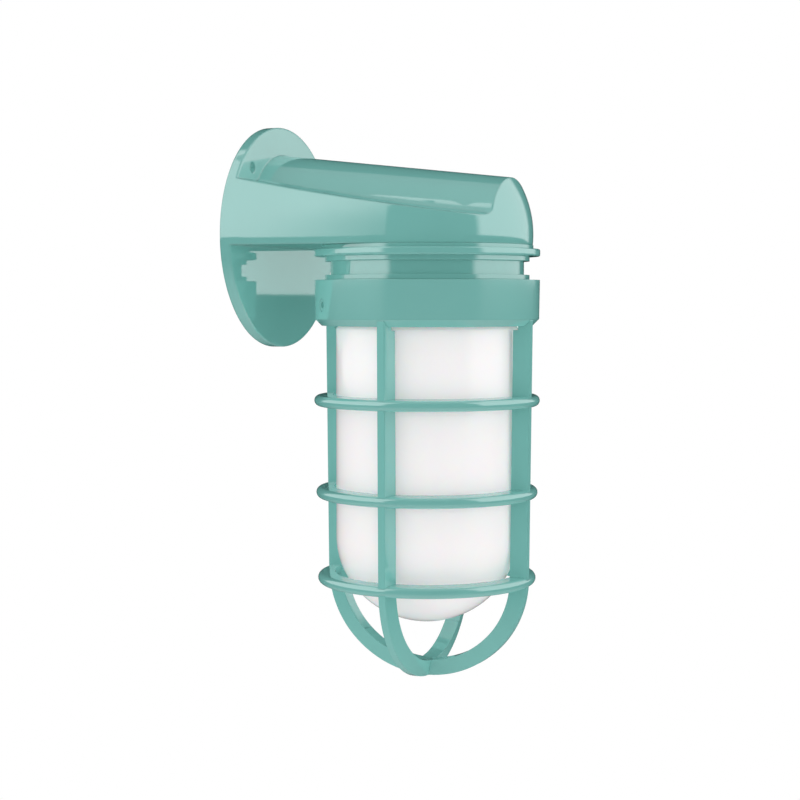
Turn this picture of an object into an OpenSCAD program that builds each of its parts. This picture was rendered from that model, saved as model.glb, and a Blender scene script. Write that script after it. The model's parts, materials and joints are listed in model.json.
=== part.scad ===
// Cast metal wall light: a hooded arm on a round wall plate, a fitter with a
// glass jar, and a cage guard of four ribs and three rings over the jar.
// The wall is the plane x = 0, +X points into the room and +Z is up.
// The origin is the centre of the back of the wall plate.

/* [Wall plate] */
// How much wider the round wall plate is than the arm's round nose
arm_flare = 4.4; // [3:0.1:6]
// Thickness of the wall plate
plate_t = 7; // [6:0.5:9]
// Rounding of the plate's front edge
plate_edge_r = 1; // [0.4:0.1:1.4]
// Radius of each of the two mounting holes
mount_hole_r = 3.3; // [2.5:0.1:4]
// Distance of each mounting hole's centre from the plate's rim
mount_hole_inset = 11.13; // [10:0.01:12]
// Direction of the mounting holes above the horizontal, in degrees
mount_hole_angle = 45.61; // [44:0.01:47]
// Width of the plate's rim round the wire opening
wire_opening_rim = 18.6; // [17:0.1:24]
// Height of the wire opening's lower edge above the plate's centre
wire_opening_sill = 4; // [3:0.5:6]
// Width of the plate's back outside the sealing ring
wall_gasket_inset = 2.6; // [2:0.1:3]
// Radial width of the sealing ring behind the plate
wall_gasket_w = 4.2; // [3:0.1:4.5]
// Thickness of the sealing ring, flush with the plate's back
wall_gasket_t = 2; // [1:0.5:3]

/* [Arm] */
// Distance from the wall to the upright axis of the fitter and the jar
fitter_x = 108; // [104:0.5:116]
// How far the fitter's lip stands out past the round nose of the arm
nose_inset = 0.05; // [0:0.05:0.5]
// Depth of the arm's flat underside below the plate's centre
arm_floor_depth = 6.3; // [5:0.1:9]
// Wall thickness of the hollow arm
arm_wall = 3.5; // [2.5:0.1:4]
// Height of the sloping ledge where it meets the plate
ledge_root_z = 34.8; // [33:0.1:36]
// Height of the ledge at the round nose
ledge_tip_z = 9.9; // [9:0.1:11]
// How far the middle of the ledge lies below a straight line between its ends
ledge_sag = 1.7; // [1:0.1:3]
// Width of the plate outside the root of the hood
hood_root_step = 27.6; // [26.5:0.1:30]
// How much smaller the hood's tip is than the round nose
hood_tip_step = 30.8; // [29.5:0.1:32]
// Height of the hood's axis at the plate
hood_root_z = 9.5; // [8:0.1:10.5]
// Depth of the hood's axis below the plate's centre at the nose
hood_tip_depth = 1; // [0:0.1:2.5]
// Radius of the hollow curve between the hood and the ledge at the plate
cove_root_r = 6.5; // [5:0.1:8]
// Radius of that hollow curve at the nose
cove_tip_r = 9; // [8:0.1:10]
// How much wider the hole in the arm's floor is than the hole in the fitter
floor_opening_step = 2; // [1:0.5:3]

/* [Fitter] */
// Height of the seam between the arm and the fitter
flange_seam = 0.1; // [0.05:0.05:0.4]
// Thickness of the gasket that lies in a step in the fitter's top
flange_gasket_t = 1.5; // [1:0.1:2]
// How far the step for that gasket is set back from the fitter's lip
flange_gasket_inset = 3; // [2:0.1:5]
// How far the thin lip on top of the fitter lies in from the flange's edge
lip_step = 4.25; // [3.5:0.05:5]
// Height of the thin lip
lip_t = 2.3; // [1.8:0.1:3]
// How far the wide flange stands out past the guard's collar
flange_over = 0.1; // [0:0.1:1.5]
// Thickness of the wide flange
flange_t = 4.5; // [3.5:0.1:6]
// Rounding of the flange's edges
flange_edge_r = 1; // [0.4:0.1:1.5]
// How far the two shoulders above and below the neck stand out past the spigot
shoulder_step = 1.9; // [1:0.1:3]
// Height of the upper shoulder
upper_shoulder_t = 3; // [2:0.1:4]
// Height of the lower shoulder
lower_shoulder_t = 2.9; // [2:0.1:4]
// Depth of the neck behind the shoulders
neck_step = 3.45; // [2:0.05:5]
// Height of the neck
neck_h = 8.5; // [6:0.1:12]
// Wall thickness of the spigot that goes into the guard's collar
spigot_wall = 7.5; // [6.5:0.1:8]
// Height of the spigot
spigot_h = 22.4; // [20:0.1:23]
// Thickness of the fitter's top web
web_t = 5; // [4:0.1:6]
// How far the edge of the web's hole lies inside the fitter screws
web_hole_step = 12; // [10.5:0.5:13]
// Width of the step above the threaded bore that the jar's gasket seats on
seat_w = 3.5; // [2.5:0.1:4]
// Height of the hollow inside the neck
cavity_h = 18; // [17:0.1:19]
// Radial clearance between the threaded bore and the jar's ridges
thread_clearance = 0.7; // [0.4:0.1:1]

/* [Fitter screws] */
// Number of screws that hold the fitter to the arm
fitter_screws = 4; // [4:1:4]
// Distance of the fitter screws from the wall of the hollow inside the neck
fitter_screw_step = 9; // [8:0.1:10]
// Radius of a fitter screw's shank
fitter_screw_r = 2.5; // [2:0.1:3]
// Radius of a fitter screw's head
fitter_screw_head_r = 4.2; // [3.8:0.1:5]
// Height of a fitter screw's head
fitter_screw_head_t = 3; // [2:0.1:4]
// Radius of the boss that takes a fitter screw
boss_r = 5.5; // [5:0.1:6.5]
// Height of the boss above the arm's floor
boss_h = 10; // [8:0.5:12]

/* [Lampholder] */
// Half width of the steel strap that carries the lampholder
strap_half_w = 8; // [6:0.5:9]
// How far each end of the strap reaches past the web's hole
strap_overlap = 9; // [8:0.5:10.5]
// Thickness of the strap
strap_t = 2; // [1.5:0.1:3]
// Distance of each strap screw from the edge of the web's hole
strap_screw_step = 4.2; // [4:0.1:5]
// Radius of a strap screw's shank
strap_screw_r = 1.8; // [1.5:0.1:2]
// Radius of a strap screw's head
strap_screw_head_r = 3.2; // [3:0.1:3.6]
// Height of a strap screw's head
strap_screw_head_t = 2.2; // [1.5:0.1:3]
// Radius of the lampholder's upper part
holder_top_r = 22; // [20:0.5:24]
// Height of the lampholder's upper part
holder_top_h = 9; // [7:0.5:12]
// Radius of the lampholder's lower part
holder_r = 18.5; // [18:0.1:20]
// Full height of the lampholder
holder_h = 40; // [38:0.5:42]
// Radius of the lampholder's bore
holder_bore_r = 14.6; // [14.5:0.1:15]
// Depth of the lampholder's bore
holder_bore_h = 25; // [24:0.5:26]
// Sheet thickness of the screw shell
shell_t = 0.5; // [0.4:0.05:0.6]
// Distance of each terminal screw from the fitter's axis
terminal_y = 15; // [13.5:0.5:16]
// Radius of a terminal screw's head
terminal_r = 3; // [2.5:0.1:3.5]
// Height of a terminal screw's head
terminal_t = 2; // [1.5:0.1:2.5]

/* [Leads] */
// Radius of each insulated lead
lead_r = 1.6; // [1:0.1:2]
// Radius of a lead's bend at its centre line
lead_bend_r = 12; // [8:0.5:14]
// Height at which the two lamp leads run through the arm
lead_run_z = 20; // [16:0.5:22]
// Distance from the wall at which the leads stop in the wire opening
lead_end_x = 2; // [1:0.5:4]
// Distance of the earth screw from the wall
earth_x = 52; // [45:0.5:60]
// Radius of the boss under the earth screw
earth_boss_r = 6; // [5.5:0.1:7]

/* [Lamp] */
// Radius of the lamp's screw cap
cap_r = 13.4; // [13.2:0.05:13.5]
// Length of the lamp's screw cap
cap_h = 22; // [20:0.5:24]
// Radius of the lamp's round bulb
bulb_r = 30; // [25:0.5:34]
// Length of the lamp's glass from the cap to the tip
bulb_h = 82; // [78:0.5:100]
// Wall thickness of the lamp's glass
bulb_t = 1; // [0.6:0.1:1.5]

/* [Glass jar] */
// Outer radius of the jar
jar_r = 55.1; // [54.6:0.1:55.6]
// Wall thickness of the jar
jar_t = 3; // [2:0.1:4]
// How far the jar's neck lies in from its straight part
jar_neck_step = 2.5; // [2:0.1:3]
// Radius of a thread ridge's round section
jar_thread_r = 1.2; // [0.8:0.1:1.3]
// Pitch of the thread ridges
jar_thread_pitch = 5; // [4:0.5:6]
// Gap between the spigot's end and the jar's shoulder
jar_shoulder_gap = 2.5; // [2:0.1:3]
// Height of the jar's straight part below its shoulder
jar_straight_h = 139.6; // [120:0.2:145]
// Radius of the curve between the straight part and the jar's bottom
jar_knuckle_r = 38; // [32:0.5:42]
// Radius of the jar's domed bottom
jar_base_r = 58.5; // [56:0.1:64]
// Thickness of the jar's sealing gasket
jar_gasket_t = 1.5; // [1:0.1:2]
// Radial width of the jar's sealing gasket
jar_gasket_w = 4; // [3.2:0.1:4.2]

/* [Guard collar] */
// Wall thickness of the collar at its top
collar_wall = 8; // [7:0.1:9]
// How much the collar narrows from its top to its lower chamfer
collar_taper = 0.35; // [0:0.05:1]
// Height of the collar above its lower chamfer
collar_h = 24.2; // [22:0.1:26]
// Width of the lower chamfer
collar_chamfer_w = 4.05; // [3:0.05:5]
// Height of the lower chamfer
collar_chamfer_h = 4.1; // [3:0.1:5]
// Radial clearance between the spigot and the collar
collar_clearance = 0.4; // [0.3:0.05:0.8]
// How far the collar's bore is cut into the tops of the ribs
collar_bore_run = 2.4; // [1:0.1:4]
// Direction of the first set screw round the fitter's axis, in degrees
set_screw_angle = -133; // [-140:1:-120]
// Depth of the set screws below the collar's top
set_screw_depth = 15.5; // [10:0.5:17]
// Radius of each set screw
set_screw_r = 4; // [3:0.1:4.5]
// How far each set screw's end lies below the collar's surface
set_screw_recess = 0.3; // [0.2:0.1:1.5]

/* [Guard cage] */
// How far the ribs' outer faces lie in from the collar's surface
rib_inset = 0.55; // [0.2:0.05:1]
// Gap between the jar and the ribs where their straight part ends
guard_jar_gap = 2.65; // [1.5:0.05:4]
// Radial depth of a rib
rib_depth = 10.1; // [9:0.1:10.4]
// Width of a rib's outer face
rib_outer_w = 4.4; // [3.5:0.1:6]
// Width of a rib's inner face
rib_inner_w = 9.8; // [8:0.1:12]
// Length of the ribs' straight part below the collar
rib_straight_h = 155.8; // [150:0.2:170]
// Depth of the cage's rounded bottom
cage_bottom_h = 65; // [62:0.1:67]
// How far the top ring stands out past the ribs
ring_top_proud = 1.65; // [1:0.05:3]
// How far the middle ring stands out past the ribs
ring_middle_proud = 1.1; // [0.6:0.05:3]
// How far the bottom ring stands out past the ribs
ring_bottom_proud = 0.7; // [0.4:0.05:3]
// Depth of the top ring below the collar
ring_top_drop = 46.7; // [40:0.1:52]
// Depth of the middle ring below the collar
ring_middle_drop = 104.3; // [98:0.1:110]
// Depth of the bottom ring below the collar
ring_bottom_drop = 158.2; // [154:0.1:160]
// Radius of a ring's round outer edge
ring_nose_r = 3.4; // [3:0.05:3.6]
// Height of a ring at its inner face
ring_inner_h = 7.6; // [7:0.1:8.4]

/* [Hidden] */
$fn = 96;
// Fineness of the ledge's very large round
fine = 1440;

// Colours
paint = [0.43, 0.67, 0.64];
steel = [0.75, 0.76, 0.78];
brass = [0.80, 0.66, 0.36];
rubber = [0.16, 0.16, 0.17];
porcelain = [0.93, 0.92, 0.88];
opal = [0.97, 0.97, 0.96];

// Overrun of every cut, and the gap that keeps two separate bodies clear
over = plate_t / 7;
clear = 0.2;
fit_gap = 0.05;
// How far a face that runs into a round dips below it
tuck = fit_gap / 10;

// Radii from the jar outwards
jar_neck_r = jar_r - jar_neck_step;
thread_bore_r = jar_neck_r + jar_thread_r + thread_clearance;
spigot_r = thread_bore_r + spigot_wall;
shoulder_r = spigot_r + shoulder_step;
neck_r = shoulder_r - neck_step;
collar_bore_r = spigot_r + collar_clearance;
collar_top_r = collar_bore_r + collar_wall;
collar_low_r = collar_top_r - collar_taper;
collar_foot_r = collar_low_r - collar_chamfer_w;
flange_r = collar_top_r + flange_over;
lip_r = flange_r - lip_step;
arm_r = lip_r - nose_inset;
plate_r = arm_r + arm_flare;
rib_top_r = collar_low_r - rib_inset;
rib_low_r = jar_r + guard_jar_gap + rib_depth;

// Radii from the fitter's hollow inwards
cavity_r = thread_bore_r - seat_w;
fitter_screw_ring_r = cavity_r - fitter_screw_step;
web_hole_r = fitter_screw_ring_r - web_hole_step;
floor_opening_r = web_hole_r + floor_opening_step;
strap_screw_x = web_hole_r + strap_screw_step;
strap_l = 2 * (web_hole_r + strap_overlap);

// Places on the plate
mount_ring_r = plate_r - mount_hole_inset;
mount_hole_y = mount_ring_r * cos(mount_hole_angle);
mount_hole_z = mount_ring_r * sin(mount_hole_angle);
wire_opening_r = plate_r - wire_opening_rim;
wall_gasket_out_r = plate_r - wall_gasket_inset;
wall_gasket_in_r = wall_gasket_out_r - wall_gasket_w;

// A length past the whole light, for the cuts that take a half of space
reach = 4 * (fitter_x + arm_r);

// The arm's side narrows from the plate's rim and runs smoothly into the round nose
arm_run = fitter_x - plate_t;
arm_slope = acos(arm_r / norm([plate_r, arm_run])) - atan2(arm_run, plate_r);

// The hood's run from the plate to the round nose
hood_root_r = plate_r - hood_root_step;
hood_tip_r = arm_r - hood_tip_step;
hood_tip_x = fitter_x + sqrt(arm_r * arm_r - hood_tip_r * hood_tip_r);
hood_tip_z = -hood_tip_depth;
hood_run = norm([hood_tip_x - plate_t, hood_root_z - hood_tip_z]);
hood_tilt = atan2(hood_root_z - hood_tip_z, hood_tip_x - plate_t);
hood_taper = (hood_root_r - hood_tip_r) / hood_run;

// The ledge is hollow lengthways: its centre of curvature lies far above it
ledge_run = hood_tip_x - plate_t;
ledge_fall = atan2(ledge_root_z - ledge_tip_z, ledge_run);
ledge_chord = norm([ledge_run, ledge_root_z - ledge_tip_z]);
ledge_r = ledge_chord * ledge_chord / (8 * ledge_sag) + ledge_sag / 2;
ledge_x = (plate_t + hood_tip_x) / 2 + (ledge_r - ledge_sag) * sin(ledge_fall);
ledge_z = (ledge_root_z + ledge_tip_z) / 2 + (ledge_r - ledge_sag) * cos(ledge_fall);
// The hollow curve beside the hood runs in straight lengths to just past the hood's tip
cove_lengths = 4;
cove_end_x = hood_tip_x + cove_tip_r / 2;

// The arm's floor, and the top of the earth screw's boss just above the opening's sill
floor_z = -arm_floor_depth;
inner_floor_z = floor_z + arm_wall;
earth_top_z = wire_opening_sill + clear;

// Heights of the fitter's steps, from the arm's underside down
lip_top_z = floor_z - flange_seam;
gasket_step_z = floor_z - flange_gasket_t;
flange_top_z = lip_top_z - lip_t;
flange_low_z = flange_top_z - flange_t;
neck_top_z = flange_low_z - upper_shoulder_t;
neck_low_z = neck_top_z - neck_h;
spigot_top_z = neck_low_z - lower_shoulder_t;
spigot_low_z = spigot_top_z - spigot_h;
web_low_z = lip_top_z - web_t;
seat_z = web_low_z - cavity_h;
gasket_step_r = lip_r - flange_gasket_inset;
flange_gasket_r = gasket_step_r - clear;

// Heights of the lampholder and the lamp
strap_low_z = web_low_z - strap_t;
holder_low_z = strap_low_z - holder_h;
bore_top_z = holder_low_z + holder_bore_h;
contact_t = shell_t * 2.4;
contact_r = holder_bore_r * 0.3;
shell_r = holder_bore_r - fit_gap;
shell_inset = shell_t * 2;
lamp_tip_z = bore_top_z - contact_t - clear;
lamp_tip_h = cap_h * 0.12;
cap_top_z = lamp_tip_z - lamp_tip_h;
cap_low_z = cap_top_z - cap_h;
bulb_low_z = cap_low_z - bulb_h;
bulb_neck_r = cap_r - bulb_t / 4;
bulb_neck_h = bulb_h * 0.12;
cap_ridges = 4;
cap_ridge_r = cap_r * 0.04;

// Heights of the jar
jar_top_z = seat_z - clear - jar_gasket_t;
jar_shoulder_z = spigot_low_z - jar_shoulder_gap;
jar_knuckle_z = jar_shoulder_z - jar_straight_h;
jar_knuckle_x = jar_r - jar_knuckle_r;
jar_base_span = jar_base_r - jar_knuckle_r;
jar_base_rise = sqrt(jar_base_span * jar_base_span - jar_knuckle_x * jar_knuckle_x);
jar_base_z = jar_knuckle_z + jar_base_rise;
jar_shoulder_h = jar_r - jar_neck_r;
jar_ridges = 3;
jar_gasket_out_r = thread_bore_r - clear * 3;

// Heights of the guard
collar_top_z = spigot_top_z - clear;
collar_low_z = collar_top_z - collar_h;
collar_foot_z = collar_low_z - collar_chamfer_h;
bore_low_z = collar_foot_z - collar_bore_run;
hoop_z = collar_foot_z - rib_straight_h;
rib_lean = atan2(rib_top_r - rib_low_r, rib_straight_h);
rib_rise = hoop_z - collar_low_z;
// The ribs' rounded bottom is an oval of two radii that meet at 45 degrees
hoop_join = 45;
hoop_lap = 1;
hoop_swell = (rib_low_r - cage_bottom_h) / (cos(hoop_join) + sin(hoop_join) - 1);
hoop_side_r = rib_low_r - hoop_swell * sin(hoop_join);
hoop_base_r = cage_bottom_h + hoop_swell * cos(hoop_join);
rib_angles = [0, 180, -90, 90];
set_screw_z = collar_top_z - set_screw_depth;
set_screw_tip_r = spigot_r + clear / 2;
set_screw_l = collar_low_r - set_screw_recess - set_screw_tip_r;
socket_r = set_screw_r * 0.55;
socket_h = set_screw_l * 0.4;

// Points on an arc in the plane, from angle a0 to angle a1
function arc(x, y, r, a0, a1, steps = 6) =
    [for (i = [0 : steps]) let (a = a0 + (a1 - a0) * i / steps) [x + r * cos(a), y + r * sin(a)]];
// Radius of the hood at a distance x from the wall, and the height of its axis
function hood_r_at(x) = hood_root_r - (x - plate_t) * hood_taper / cos(hood_tilt);
function hood_z_at(x) = hood_root_z - (x - plate_t) * tan(hood_tilt);
// Radius and centre of a ball that rests on the ledge and against the hood
function cove_r_at(x) = cove_root_r + (cove_tip_r - cove_root_r) * (x - plate_t) / ledge_run;
function cove_at(x) = let (r = cove_r_at(x), gap = hood_r_at(x) + r,
    z = ledge_z - sqrt(pow(ledge_r - r, 2) - pow(x - ledge_x, 2)))
    [x, sqrt(gap * gap - pow(z - hood_z_at(x), 2)), z];
// Outer radius of the ribs at a height z
function rib_r_at(z) = rib_low_r + (z - hoop_z) * tan(rib_lean);

module on_axis(z = 0) { translate([fitter_x, 0, z]) children(); }

// A disc or a tube round the fitter's axis, from z_top down to z_low
module tube(z_top, z_low, r, bore = 0) {
    on_axis(z_low) difference() {
        cylinder(r = r, h = z_top - z_low);
        if (bore > 0) translate([0, 0, -over]) cylinder(r = bore, h = z_top - z_low + 2 * over);
    }
}

// The arm's long round form, with every face moved inwards by inset
module arm_capsule(inset) {
    root_r = plate_r - inset;
    nose_r = arm_r - inset;
    start = inset > 0 ? -over : 0;
    join_x = fitter_x + nose_r * sin(arm_slope);
    rotate([0, 90, 0]) rotate_extrude() {
        polygon([[0, start], [root_r, start], [root_r, plate_t],
            [nose_r * cos(arm_slope) - tuck, join_x], [0, join_x]]);
        translate([0, fitter_x]) intersection() {
            circle(r = nose_r);
            square(reach);
        }
    }
}

// All space below the ledge
module under_ledge(inset) {
    difference() {
        translate([-reach / 2, -reach / 2, -reach]) cube([reach, reach, reach + plate_r]);
        translate([ledge_x, reach, ledge_z]) rotate([90, 0, 0])
            cylinder(r = ledge_r + inset, h = 2 * reach, $fn = fine);
    }
}

// The hood is a long tapered round
module hood_cone(inset) {
    ends = 2 * plate_t;
    translate([plate_t, 0, hood_root_z]) rotate([0, 90 + hood_tilt, 0]) translate([0, 0, -ends])
        cylinder(r1 = hood_root_r + ends * hood_taper - inset,
            r2 = hood_tip_r - ends * hood_taper - inset, h = hood_run + 2 * ends);
}

// One straight length of the hollow curve between the hood and the ledge
module cove_length(x0, x1) {
    start = cove_at(x0 - over);
    run = cove_at(x1 + over) - start;
    middle = (x0 + x1) / 2;
    lean = asin((cove_at(middle)[2] - hood_z_at(middle)) / (hood_r_at(middle) + cove_r_at(middle)));
    wide_r = cove_r_at(x1);
    sunk = 1.5 * wide_r;
    translate(start) rotate([0, -atan2(run[2], norm([run[0], run[1]])), atan2(run[1], run[0])])
        rotate([90, 0, 90]) difference() {
            linear_extrude(height = norm(run))
                polygon([[0, 0], [-sunk * cos(lean), -sunk * sin(lean)], [-sunk, -sunk],
                    [0, -wide_r]]);
            translate([0, 0, -over])
                cylinder(r1 = cove_r_at(x0), r2 = wide_r, h = norm(run) + 2 * over);
        }
}

module coves() {
    step = cove_end_x / cove_lengths;
    for (side = [0, 1], i = [0 : cove_lengths - 1]) mirror([0, side, 0])
        cove_length(i * step, (i + 1) * step);
}

module arm_form(inset) {
    intersection() {
        arm_capsule(inset);
        translate([-reach / 2, -reach / 2, floor_z + inset]) cube(reach);
        union() {
            under_ledge(inset);
            hood_cone(inset);
            if (inset == 0) coves();
        }
    }
}

module plate_disc() {
    rotate([0, 90, 0]) rotate_extrude()
        polygon(concat([[0, plate_t], [0, 0], [plate_r, 0]],
            arc(plate_r - plate_edge_r, plate_t - plate_edge_r, plate_edge_r, 0, 90)));
}

module fitter_screw_places() {
    on_axis() for (i = [0 : fitter_screws - 1]) rotate([0, 0, (i + 0.5) * 360 / fitter_screws])
        translate([fitter_screw_ring_r, 0, 0]) children();
}

module arm_casting() {
    color(paint) difference() {
        union() {
            difference() {
                union() {
                    plate_disc();
                    arm_form(0);
                }
                intersection() {
                    arm_form(arm_wall);
                    union() {
                        translate([plate_t, -reach / 2, -reach / 2]) cube(reach);
                        intersection() {
                            translate([-over, 0, 0]) rotate([0, 90, 0])
                                cylinder(r = wire_opening_r, h = plate_t + 2 * over);
                            translate([-reach / 2, -reach / 2, wire_opening_sill]) cube(reach);
                        }
                    }
                }
            }
            fitter_screw_places() translate([0, 0, floor_z + arm_wall / 2])
                cylinder(r = boss_r, h = boss_h + arm_wall / 2);
            translate([earth_x, 0, inner_floor_z - arm_wall / 2])
                cylinder(r = earth_boss_r, h = earth_top_z - inner_floor_z + arm_wall / 2);
        }
        tube(floor_z + 2 * arm_wall, floor_z - over, floor_opening_r);
        fitter_screw_places() translate([0, 0, floor_z - over])
            cylinder(r = fitter_screw_r, h = boss_h + over);
        translate([earth_x, 0, inner_floor_z])
            cylinder(r = strap_screw_r, h = earth_top_z - inner_floor_z + over);
        for (side = [-1, 1]) translate([-over, side * mount_hole_y, mount_hole_z])
            rotate([0, 90, 0]) cylinder(r = mount_hole_r, h = plate_t + 2 * over);
        translate([-over, 0, 0]) rotate([0, 90, 0]) difference() {
            cylinder(r = wall_gasket_out_r, h = wall_gasket_t + over);
            translate([0, 0, -over])
                cylinder(r = wall_gasket_in_r, h = wall_gasket_t + 3 * over);
        }
    }
}

module wall_gasket() {
    color(rubber) rotate([0, 90, 0]) difference() {
        cylinder(r = wall_gasket_out_r - fit_gap, h = wall_gasket_t);
        translate([0, 0, -over])
            cylinder(r = wall_gasket_in_r + fit_gap, h = wall_gasket_t + 2 * over);
    }
}

// A pan head with a cross slot, its seat at z = 0 and its crown at z = t
module slotted_head(r, t) {
    slot_w = r / 4;
    difference() {
        cylinder(r1 = r, r2 = r * 0.86, h = t);
        translate([-slot_w / 2, -r, t * 0.55]) cube([slot_w, 2 * r, t]);
    }
}

module earth_screw() {
    grip = (earth_top_z - inner_floor_z) / 2;
    color(brass) translate([earth_x, 0, earth_top_z]) {
        translate([0, 0, shell_t * 2]) slotted_head(terminal_r * 1.2, terminal_t);
        translate([0, 0, -grip]) cylinder(r = strap_screw_r - fit_gap, h = grip + shell_t * 2);
    }
}

// The earth lead ends in a ring terminal under the earth screw's head
module lead_earth() {
    ring_r = terminal_r * 1.5;
    color("seagreen") {
        translate([earth_x, 0, earth_top_z]) difference() {
            cylinder(r = ring_r, h = shell_t * 2);
            translate([0, 0, -over]) cylinder(r = strap_screw_r, h = 2 * over + shell_t * 2);
        }
        translate([lead_end_x, 0, earth_top_z + lead_r + fit_gap]) rotate([0, 90, 0])
            cylinder(r = lead_r, h = earth_x - ring_r * 0.9 - lead_end_x);
    }
}

// A lamp lead rises from its terminal, bends towards the wall and stops in the wire opening
module lamp_lead(side) {
    rise_z = web_low_z - strap_t + terminal_t;
    bend_z = lead_run_z - lead_bend_r;
    translate([fitter_x, side * terminal_y, 0]) {
        translate([0, 0, rise_z]) cylinder(r = lead_r, h = bend_z - rise_z);
        translate([-lead_bend_r, 0, bend_z]) rotate([90, 0, 0])
            rotate_extrude(angle = 90) translate([lead_bend_r, 0]) circle(r = lead_r);
    }
    translate([lead_end_x, side * terminal_y, lead_run_z]) rotate([0, 90, 0])
        cylinder(r = lead_r, h = fitter_x - lead_bend_r - lead_end_x);
}

module lead_live() { color("black") lamp_lead(-1); }
module lead_neutral() { color("white") lamp_lead(1); }

module flange_gasket() {
    color(rubber) difference() {
        tube(floor_z, gasket_step_z, flange_gasket_r, floor_opening_r);
        fitter_screw_places() translate([0, 0, gasket_step_z - over])
            cylinder(r = fitter_screw_r + fit_gap, h = flange_gasket_t + 2 * over);
    }
}

module fitter_casting() {
    color(paint) difference() {
        on_axis() rotate_extrude() polygon(concat(
            [[web_hole_r, gasket_step_z], [gasket_step_r, gasket_step_z],
            [gasket_step_r, lip_top_z], [lip_r, lip_top_z], [lip_r, flange_top_z]],
            arc(flange_r - flange_edge_r, flange_top_z - flange_edge_r, flange_edge_r, 90, 0),
            arc(flange_r - flange_edge_r, flange_low_z + flange_edge_r, flange_edge_r, 0, -90),
            [[shoulder_r, flange_low_z], [shoulder_r, neck_top_z], [neck_r, neck_top_z],
            [neck_r, neck_low_z], [shoulder_r, neck_low_z], [shoulder_r, spigot_top_z],
            [spigot_r, spigot_top_z], [spigot_r, spigot_low_z], [thread_bore_r, spigot_low_z],
            [thread_bore_r, seat_z], [cavity_r, seat_z], [cavity_r, web_low_z],
            [web_hole_r, web_low_z]]));
        fitter_screw_places() translate([0, 0, web_low_z - over])
            cylinder(r = fitter_screw_r + fit_gap, h = web_t + 2 * over);
        on_axis(web_low_z - over) for (side = [-1, 1]) translate([side * strap_screw_x, 0, 0])
            cylinder(r = strap_screw_r, h = web_t * 0.8 + over);
    }
}

module fitter_screw_set() {
    color(steel) fitter_screw_places() {
        translate([0, 0, web_low_z - fitter_screw_head_t])
            mirror([0, 0, 1]) translate([0, 0, -fitter_screw_head_t])
                slotted_head(fitter_screw_head_r, fitter_screw_head_t);
        translate([0, 0, web_low_z])
            cylinder(r = fitter_screw_r - fit_gap, h = web_t + flange_seam + boss_h * 0.8);
    }
}

module lampholder_strap() {
    color(steel) on_axis(strap_low_z) difference() {
        intersection() {
            translate([-strap_l / 2, -strap_half_w, 0]) cube([strap_l, 2 * strap_half_w, strap_t]);
            cylinder(r = strap_l / 2, h = strap_t);
        }
        for (x = [-strap_screw_x, 0, strap_screw_x]) translate([x, 0, -over])
            cylinder(r = strap_screw_r + fit_gap, h = strap_t + 2 * over);
    }
}

module strap_screws() {
    color(steel) on_axis(strap_low_z) for (side = [-1, 1]) translate([side * strap_screw_x, 0, 0]) {
        mirror([0, 0, 1]) slotted_head(strap_screw_head_r, strap_screw_head_t);
        cylinder(r = strap_screw_r - fit_gap, h = strap_t + web_t * 0.7);
    }
}

module lampholder_screw() {
    color(steel) on_axis(web_low_z) {
        slotted_head(strap_screw_head_r, strap_screw_head_t);
        translate([0, 0, -strap_t - holder_top_h])
            cylinder(r = strap_screw_r - fit_gap, h = strap_t + holder_top_h);
    }
}

module lampholder_body() {
    step = holder_top_r - holder_r;
    color(porcelain) on_axis() difference() {
        rotate_extrude() polygon([[0, strap_low_z], [holder_top_r, strap_low_z],
            [holder_top_r, strap_low_z - holder_top_h], [holder_r, strap_low_z - holder_top_h - step],
            [holder_r, holder_low_z], [holder_bore_r, holder_low_z], [holder_bore_r, bore_top_z],
            [0, bore_top_z]]);
        translate([0, 0, strap_low_z - holder_top_h])
            cylinder(r = strap_screw_r, h = holder_top_h + over);
    }
}

module lampholder_shell() {
    color(brass) tube(bore_top_z, holder_low_z + shell_inset, shell_r, shell_r - shell_t);
}

module lampholder_contact() {
    color(brass) tube(bore_top_z, bore_top_z - contact_t, contact_r);
}

module terminal_screws() {
    color(brass) on_axis(strap_low_z) for (side = [-1, 1]) translate([0, side * terminal_y, 0])
        cylinder(r = terminal_r, h = terminal_t);
}

module jar_gasket() {
    color(rubber) tube(seat_z - clear, jar_top_z, jar_gasket_out_r, jar_gasket_out_r - jar_gasket_w);
}

// Half of the jar's section, with every face moved inwards by inset
module jar_section(inset) {
    body_r = jar_r - inset;
    neck_r = jar_neck_r - inset;
    knuckle_r = jar_knuckle_r - inset;
    base_r = jar_base_r - inset;
    join = atan2(jar_base_rise, jar_knuckle_x);
    top = jar_top_z + (inset > 0 ? over : 0);
    polygon(concat([[0, top], [neck_r, top], [neck_r, jar_shoulder_z],
        [body_r, jar_shoulder_z - jar_shoulder_h]],
        arc(jar_knuckle_x, jar_knuckle_z, knuckle_r, 0, -join, 16),
        arc(0, jar_base_z, base_r, -join, -90, 16)));
}

module glass_jar() {
    color(opal) on_axis() {
        rotate_extrude() difference() {
            jar_section(0);
            jar_section(jar_t);
        }
        for (i = [1 : jar_ridges]) translate([0, 0, jar_top_z - i * jar_thread_pitch])
            rotate_extrude() translate([jar_neck_r, 0]) intersection() {
                circle(r = jar_thread_r);
                translate([-jar_thread_r / 2, -jar_thread_r])
                    square([2 * jar_thread_r, 2 * jar_thread_r]);
            }
    }
}

// Half of the lamp glass's section, with every face moved inwards by inset
module bulb_section(inset) {
    centre_z = bulb_low_z + bulb_r;
    neck_r = bulb_neck_r - inset;
    neck_z = cap_low_z - bulb_neck_h;
    top = cap_low_z + (inset > 0 ? over : 0);
    polygon(concat([[0, top], [neck_r, top], [neck_r, neck_z]],
        arc(0, centre_z, bulb_r - inset, 40, -90, 24)));
}

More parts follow.
